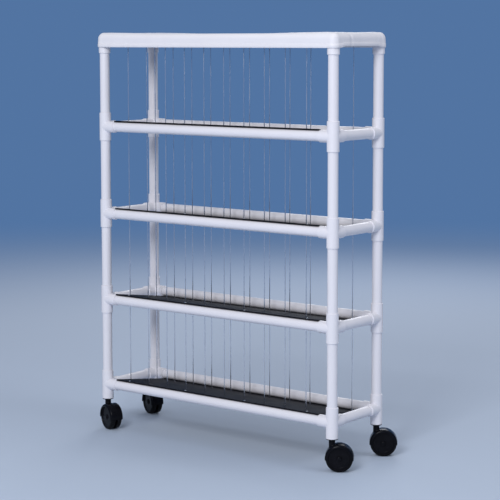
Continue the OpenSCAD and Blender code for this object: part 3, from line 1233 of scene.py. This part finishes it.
    def sag(self, point: Vector) -> float:
        """Tells how far the open middle of the top hangs down.

        Args:
            point: A point of the top.

        Returns:
            The drop there.
        """
        measures = self.measures
        across = 1.0 - (point.y / measures.post_y) ** self.sag_power_y
        along = 1.0 - (point.x / measures.post_x) ** self.sag_power_x
        bend = self.ripple_bend * math.sin(point.y * self.ripple_y)
        ripple = math.sin(point.x * self.ripple_x + bend)
        return across * along * (self.centre_sag + self.ripple_height * ripple)

    def folds(self, corner_x: float, corner_y: float) -> float:
        """Shapes the tension folds that run out of a corner of the top.

        Args:
            corner_x: The distance from the corner along X.
            corner_y: The distance from the corner along Y.

        Returns:
            The folds' height there.
        """
        distance = math.hypot(corner_x, corner_y)
        angle = math.atan2(corner_y, corner_x)
        fade = math.exp(-distance / self.fold_fade) * ease(distance, 0.0, self.fold_start)
        return self.fold_height * math.sin(self.fold_count * angle) * fade

    def pucker(self, near: float, depth: float) -> float:
        """Shapes the gathers that stand on the skirt near a corner.

        Args:
            near: The distance from the corner along the skirt.
            depth: The depth below the rail axes.

        Returns:
            The gathers' height there.
        """
        wave = 0.5 + 0.5 * math.sin(near * self.gathers + depth * self.gather_slant)
        fade = math.exp(-near / self.gather_fade) * ease(depth, *self.gather_rise)
        return self.gather_height * wave * fade

    def wander(self, point: Vector, depth: float) -> float:
        """Shapes the slow in and out of the skirt's free edge.

        Args:
            point: A point of the skirt.
            depth: Its depth below the rail axes.

        Returns:
            How far it lies out, or in where this is negative.
        """
        along = math.sin(point.x * self.wander_x + self.wander_phase)
        across = math.sin(point.y * self.cross_y + point.x * self.cross_x)
        wave = along + self.cross_share * across
        return self.wander_height * wave * ease(depth, 0.0, self.wander_span)

    def crease(self, point: Vector) -> float:
        """Shapes the upright creases on the right end.

        Args:
            point: A point of the skirt or the bend.

        Returns:
            The creases' depth there, 0 on the other sides.
        """
        if point.x < self.measures.post_x:
            return 0.0
        return sum(
            depth * math.exp(-(((point.y - place) / width) ** 2)) for place, depth, width in self.end_creases
        )

    def hem(self, roll: float, bottom: float, axis_z: float) -> bpy.types.Object:
        """Makes the folded hem along the skirt's lower edge.

        Args:
            roll: The radius of the bend over the fittings.
            bottom: The height of the skirt's lower edge.
            axis_z: The height of the top rail axes.

        Returns:
            The hem.
        """
        inner = -self.measures.post_y - roll
        outer = inner - self.hem_thickness
        top = bottom + self.hem_height
        turn_up = self.hem_thickness
        back = inner + self.thickness
        outline = [(inner, top), (outer, top - turn_up), (outer, bottom), (inner, bottom - turn_up)]
        outline += [(back, bottom - turn_up / 2), (back, bottom), (inner, bottom)]
        shape = self.sweep(outline, roll, open_top=False)
        self.map_flat(shape, roll, axis_z)
        self.settle(shape, roll, axis_z)
        return finished("cover_hem", shape, [COVER], RACK, sharp=50.0)

    def stitches(self, roll: float, bottom: float, axis_z: float) -> bpy.types.Object:
        """Makes the row of stitches that holds the hem.

        Args:
            roll: The radius of the bend over the fittings.
            bottom: The height of the skirt's lower edge.
            axis_z: The height of the top rail axes.

        Returns:
            The stitches.
        """
        measures = self.measures
        reach = roll + self.hem_thickness
        row_z = bottom + self.hem_height - self.stitch_inset
        size = (self.stitch_length, self.stitch_width, self.stitch_height)
        shapes = []
        long_sides = (measures.post_x, measures.post_y, 0.0)
        short_sides = (measures.post_y, measures.post_x, QUARTER_TURN)
        for half, offset, turn in (long_sides, short_sides):
            count = int(2 * half / self.stitch_pitch)
            for number in range(count):
                along = -half + (number + 0.5) * 2 * half / count
                for way in (0.0, math.pi):
                    stitch = bmesh.new()
                    bmesh.ops.create_icosphere(stitch, subdivisions=1, radius=0.5)
                    bmesh.ops.scale(stitch, vec=size, verts=stitch.verts)
                    bmesh.ops.translate(stitch, vec=(along, -offset - reach, row_z), verts=stitch.verts)
                    shapes.append(moved(stitch, Matrix.Rotation(turn + way, 4, "Z")))
        rows = joined(shapes)
        self.settle(rows, roll, axis_z)
        return finished("cover_stitches", rows, [THREAD], RACK)


# ---------- the casters ----------


@dataclass(frozen=True)
class Caster:
    """A twin-wheel caster with a hood, in its own frame until it is put in place.

    In its own frame the axle runs along Z through the origin and X points up.
    """

    side: Side
    centre: Vector
    axle: Vector
    swivel: Vector
    wheel_r: float
    neck_top: float
    wheel_inner: float = 0.0055
    wheel_outer: float = 0.0265
    inner_shoulder: float = 0.003
    outer_shoulder: float = 0.008
    dish: float = 0.0035
    hub_r: float = 0.0105
    tread: float = 0.009
    hood_gap: float = 0.001
    hood_wall: float = 0.002
    hood_round: float = 0.010
    hood_lip: float = 0.0007
    hood_drop: float = 0.006
    cheek_depth: float = 0.011
    cheek_wall: float = 0.0025
    half_width: float = 0.031
    web_thickness: float = 0.007
    boss_r: float = 0.013
    boss_rise: float = 0.0008
    neck_r: float = 0.013
    neck_flare: float = 0.0035
    neck_foot: float = 0.008
    neck_edge: float = 0.0012
    axle_r: float = 0.004
    cap_r: float = 0.0075
    cap_gap: float = 0.0003
    cap_edge: float = 0.0008
    cap_rise: float = 0.0020
    cap_crown_r: float = 0.0045
    bore_gap: float = 0.00005
    tyre_seam: float = 0.0005
    face_step: float = 0.0010
    face_slope: float = 0.0015
    face_ledge: float = 0.0060

    @classmethod
    def at(cls, side: Side) -> "Caster":
        """Reads one caster's place from its joints and the boxes of its hood and wheel.

        Args:
            side: The post that it stands under.

        Returns:
            The caster.
        """
        joints = {joint["name"]: joint for joint in frame["joints"]}
        spin = joints[f"spin_a_{side.label}"]
        swivel = joints[f"swivel_{side.label}"]
        _, hood_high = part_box(f"caster_hood_{side.label}")
        wheel_low, wheel_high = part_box(f"wheel_a_{side.label}")
        return cls(
            side=side,
            centre=Vector(spin["pos_m"]),
            axle=Vector(spin["axis"]).normalized(),
            swivel=Vector(swivel["pos_m"]),
            wheel_r=(wheel_high.z - wheel_low.z) / 2,
            neck_top=hood_high.z,
        )

    @property
    def cavity_r(self) -> float:
        """The inner radius of the hood."""
        return self.wheel_r + self.hood_gap

    @property
    def hood_r(self) -> float:
        """The outer radius of the hood."""
        return self.cavity_r + self.hood_wall

    def put(self, shape: BMesh) -> BMesh:
        """Moves a shape from the caster's own frame into the rack's."""
        turn = Matrix((UP, self.axle.cross(UP), self.axle)).transposed().to_4x4()
        return moved(shape, Matrix.Translation(self.centre) @ turn)

    def build(self) -> None:
        """Makes the hood, web, neck, axle and both wheels."""
        name, body = self.side.label, f"caster_{self.side.label}"
        hood = finished(f"hood_shell_{name}", self.put(self.hood()), [CASTER], body, sharp=35.0)
        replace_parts(hood, f"caster_hood_{name}")
        finished(f"hood_web_{name}", self.put(self.web()), [CASTER], body, sharp=35.0)
        finished(f"hood_neck_{name}", self.neck(), [CASTER], body, sharp=50.0)
        axle = finished(f"axle_pin_{name}", self.put(self.axle_pin()), [ZINC], body, sharp=35.0)
        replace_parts(axle, f"caster_axle_{name}")
        finished(f"axle_caps_{name}", self.put(self.axle_caps()), [CASTER], body, sharp=35.0)
        for letter, turn in (("a", 0.0), ("b", math.pi)):
            shape = self.put(moved(self.wheel(), Matrix.Rotation(turn, 4, "X")))
            node = f"wheel_{letter}_{name}"
            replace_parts(finished(f"twin_{node}", shape, [WHEEL, TYRE], node, sharp=30.0), node)
        dress(f"caster_plug_{name}", CASTER)

    def hood(self) -> BMesh:
        """Makes the hood's rounded shell over the wheels.

        Returns:
            The shell, open below, in the caster's own frame.
        """
        cheek_r = self.cavity_r - self.cheek_depth
        inside, outside = self.half_width - self.cheek_wall, self.half_width
        outline = [
            (self.cavity_r, -inside),
            (cheek_r, -inside),
            (cheek_r, -outside),
            (self.hood_r, -outside),
            (self.hood_r, outside),
            (cheek_r, outside),
            (cheek_r, inside),
            (self.cavity_r, inside),
        ]
        shoulders, hollows, lips = (3, 4), (0, 7), (1, 2, 5, 6)
        rounding = dict.fromkeys(shoulders, self.hood_round)
        rounding |= dict.fromkeys(hollows, self.hood_round - self.hood_wall)
        rounding |= dict.fromkeys(lips, self.hood_lip)
        shape = turned(outline, rounding, steps=96, segments=6)
        cut_below(shape, Vector((1, 0, 0)), Vector((-self.hood_drop, 0, 0)))
        return shape

    def web(self) -> BMesh:
        """Makes the web between the wheels, with the boss round the axle.

        Returns:
            Both, in the caster's own frame.
        """
        half, reach = self.web_thickness / 2, self.hood_r - self.hood_wall / 2
        disc = turned([(0.0, -half), (reach, -half), (reach, half), (0.0, half)], steps=72)
        cut_below(disc, Vector((1, 0, 0)), Vector((-self.hood_drop, 0, 0)))
        end, rims = half + self.boss_rise, (1, 2)
        outline = [(self.axle_r, -end), (self.boss_r, -end), (self.boss_r, end), (self.axle_r, end)]
        boss = turned(outline, dict.fromkeys(rims, self.boss_rise), steps=48)
        return joined([disc, boss])

    def saddle(self, point: Vector) -> float:
        """Returns the height of the middle of the hood's wall over a point."""
        off = (point - self.centre).dot(self.axle.cross(UP))
        return self.centre.z + math.sqrt((self.hood_r - self.hood_wall / 2) ** 2 - off * off)

    def neck(self) -> BMesh:
        """Makes the swivel neck, whose foot flares onto the hood.

        Returns:
            The neck, in its place on the rack.
        """
        foot, flared_r = self.neck_foot, self.neck_r + self.neck_flare
        outline = [(0.0, 0.0), (flared_r, 0.0), (self.neck_r, foot / 2), (self.neck_r, foot)]
        outline += [(self.neck_r, self.neck_top), (0.0, self.neck_top)]
        ankle, top_edge = 2, 4
        shape = turned(outline, {ankle: foot / 3, top_edge: self.neck_edge}, steps=48)
        bmesh.ops.translate(shape, vec=(self.swivel.x, self.swivel.y, 0.0), verts=shape.verts)
        for vertex in shape.verts:
            if vertex.co.z < foot + MILLIMETRE:
                vertex.co.z += self.saddle(vertex.co)
        return shape

    def axle_pin(self) -> BMesh:
        """Makes the steel pin that both wheels run on."""
        end = self.wheel_outer + self.cap_gap
        return turned([(0.0, -end), (self.axle_r, -end), (self.axle_r, end), (0.0, end)], steps=32)

    def axle_caps(self) -> BMesh:
        """Makes the domed caps on both ends of the axle.

        Returns:
            Both caps, in the caster's own frame.
        """
        start, edge = self.wheel_outer + self.cap_gap, self.cap_edge
        top = start + self.cap_rise
        outline = [(0.0, start), (self.cap_r, start), (self.cap_r, start + edge)]
        outline += [(self.cap_crown_r, top), (0.0, top)]
        rim, crown = 2, 3
        caps = []
        for angle in (0.0, math.pi):
            cap = turned(outline, {rim: edge / 2, crown: 2 * edge}, steps=40, segments=3)
            caps.append(moved(cap, Matrix.Rotation(angle, 4, "X")))
        return joined(caps)

    def wheel(self) -> BMesh:
        """Makes wheel a: a hub, a dished face with a step, and a tyre with a seam.

        Returns:
            The wheel in the caster's own frame, with the second finish on its tyre.
        """
        bore, face, back = self.axle_r + self.bore_gap, self.wheel_outer, self.wheel_inner
        tyre_r, lip_r = self.wheel_r - self.tread, self.wheel_r - self.cheek_depth
        seam, slope = self.tyre_seam, self.face_slope
        floor = face - self.dish
        ledge = floor + self.face_step
        ledge_r = lip_r - slope - self.face_ledge
        outline = [
            (bore, back),
            (self.wheel_r, back),
            (self.wheel_r, face),
            (tyre_r + seam, face),
            (tyre_r, face - seam),
            (tyre_r - seam, face),
            (lip_r, face),
            (lip_r - slope, ledge),
            (ledge_r, ledge),
            (ledge_r - slope, floor),
            (self.hub_r + slope, floor),
            (self.hub_r, face),
            (bore, face),
        ]
        inner_edge, outer_edge = 1, 2
        rounding = {inner_edge: self.inner_shoulder, outer_edge: self.outer_shoulder}
        shape = turned(outline, rounding, steps=80, segments=6)
        tyre_finish = 1
        for rim_face in shape.faces:
            middle = rim_face.calc_center_median()
            if math.hypot(middle.x, middle.y) > tyre_r:
                rim_face.material_index = tyre_finish
        return shape


# ---------- the studio ----------


@dataclass(frozen=True)
class Camera:
    """The camera's place, aim and lens.

    Attributes:
        place: Its place in metres.
        yaw: How many degrees to the left of +Y it looks.
        pitch: How many degrees it looks down.
        roll: How many degrees it leans to the right.
        lens: Its focal length in millimetres.
        rise: How far the frame is shifted up, as a share of its width.
        sensor: The width of its sensor in millimetres.
        far: The distance in metres up to which it sees.
    """

    place: tuple[float, float, float] = (4.3188, -5.4245, 1.7284)
    yaw: float = 38.07
    pitch: float = 5.83
    roll: float = 0.07
    lens: float = 118.15
    rise: float = -0.09
    sensor: float = 36.0
    far: float = 200.0

    def build(self) -> None:
        """Makes the camera and gives it to the scene."""
        data = bpy.data.cameras.new("camera")
        data.lens = self.lens
        data.sensor_width = self.sensor
        data.shift_y = self.rise
        data.clip_end = self.far
        camera = placed("camera", data)
        level, turned_left = math.radians(90.0 - self.pitch), math.radians(self.yaw)
        aim = Matrix.Rotation(turned_left, 4, "Z") @ Matrix.Rotation(level, 4, "X")
        aim = aim @ Matrix.Rotation(-math.radians(self.roll), 4, "Z")
        camera.matrix_world = Matrix.Translation(self.place) @ aim
        bpy.context.scene.camera = camera


@dataclass(frozen=True)
class Lamp:
    """A square soft light that looks at the rack."""

    name: str
    place: tuple[float, float, float]
    size: float
    power: float

    def build(self, target: Vector) -> None:
        """Hangs the lamp and aims it.

        Args:
            target: The point that it looks at.
        """
        data = bpy.data.lights.new(self.name, "AREA")
        data.shape = "SQUARE"
        data.size = self.size
        data.energy = self.power
        place = Vector(self.place)
        aim = (target - place).to_track_quat("-Z", "Y").to_matrix().to_4x4()
        placed(self.name, data).matrix_world = Matrix.Translation(place) @ aim


@dataclass(frozen=True)
class Studio:
    """A plain pale floor under soft light, with a plain background."""

    floor_color: Color = (0.48, 0.56, 0.70)
    background: Color = (0.085, 0.175, 0.36)
    ambient: Color = (0.88, 0.93, 1.0)
    ambient_strength: float = 0.45
    floor_r: float = 60.0
    fade_start: float = 3.0
    fade_end: float = 9.0
    floor_rough: float = 0.8
    aim_height: float = 0.85
    lamps: tuple[Lamp, ...] = (
        Lamp("key", place=(1.9, -5.4, 3.7), size=2.0, power=195.0),
        Lamp("high_front", place=(1.0, -4.0, 4.6), size=2.2, power=26.0),
        Lamp("high_right", place=(3.0, 0.6, 5.6), size=2.0, power=44.0),
        Lamp("back", place=(-2.5, 5.0, 3.2), size=2.4, power=60.0),
    )

    def build(self) -> None:
        """Makes the floor, the background, the lamps and the camera."""
        self.floor()
        self.world()
        for lamp in self.lamps:
            lamp.build(UP * self.aim_height)
        Camera().build()
        bpy.context.scene.view_settings.view_transform = "Standard"

    def floor(self) -> None:
        """Makes the floor, which fades into the background away from the rack."""
        shape = bmesh.new()
        bmesh.ops.create_circle(shape, cap_ends=True, segments=96, radius=self.floor_r)
        mesh = bpy.data.meshes.new("floor")
        shape.to_mesh(mesh)
        shape.free()
        placed("floor", mesh)
        material = bpy.data.materials.new("floor_paint")
        sheet = NodeSheet(material)
        length = sheet.node("ShaderNodeVectorMath", {"operation": "LENGTH"}, {0: sheet.place()})
        distance = Value(sheet, length.outputs["Value"])
        sockets = {"Base Color": (*self.floor_color, 1), "Roughness": self.floor_rough}
        paint = sheet.node("ShaderNodeBsdfPrincipled", {}, sockets)
        glow = sheet.node("ShaderNodeEmission", {}, {"Color": (*self.background, 1), "Strength": 1.0})
        seen = self.seen(sheet) * distance.over(self.fade_start, self.fade_end)
        mix = sheet.node("ShaderNodeMixShader", {}, {0: seen, 1: paint.outputs[0], 2: glow.outputs[0]})
        sheet.node("ShaderNodeOutputMaterial", {}, {"Surface": mix.outputs[0]})
        mesh.materials.append(material)

    @staticmethod
    def seen(sheet: NodeSheet) -> Value:
        """Tells which rays show the background.

        Args:
            sheet: The nodes of the floor or the world.

        Returns:
            1 for rays from the camera, from gloss and through glass, and 0 for the rest.
        """
        rays = sheet.node("ShaderNodeLightPath")
        camera, gloss, glass = (
            Value(sheet, rays.outputs[f"Is {kind} Ray"]) for kind in ("Camera", "Glossy", "Transmission")
        )
        return (camera + gloss + glass).math("MINIMUM", 1.0)

    def world(self) -> None:
        """Makes the even light from all round and the plain background."""
        world = bpy.data.worlds.new("studio")
        bpy.context.scene.world = world
        sheet = NodeSheet(world)
        lights = [
            sheet.node("ShaderNodeBackground", {}, {"Color": (*color, 1), "Strength": strength}).outputs[0]
            for color, strength in ((self.ambient, self.ambient_strength), (self.background, 1.0))
        ]
        sockets = {0: self.seen(sheet), 1: lights[0], 2: lights[1]}
        mix = sheet.node("ShaderNodeMixShader", {}, sockets)
        sheet.node("ShaderNodeOutputWorld", {}, {"Surface": mix.outputs[0]})


def main() -> None:
    """Builds the rack's sub-assemblies in order, then the studio."""
    measures = Measures.of_frame()
    LOG.info("measures: %s", measures)
    PipeFrame(measures).build()
    BoardsAndRods().build()
    TopCover(measures).build()
    dress("caster_stems", ZINC)
    for side in Side:
        Caster.at(side).build()
    Studio().build()


if __name__ == "__main__":
    logging.basicConfig(level=logging.INFO, format="%(name)s %(message)s")
    main()
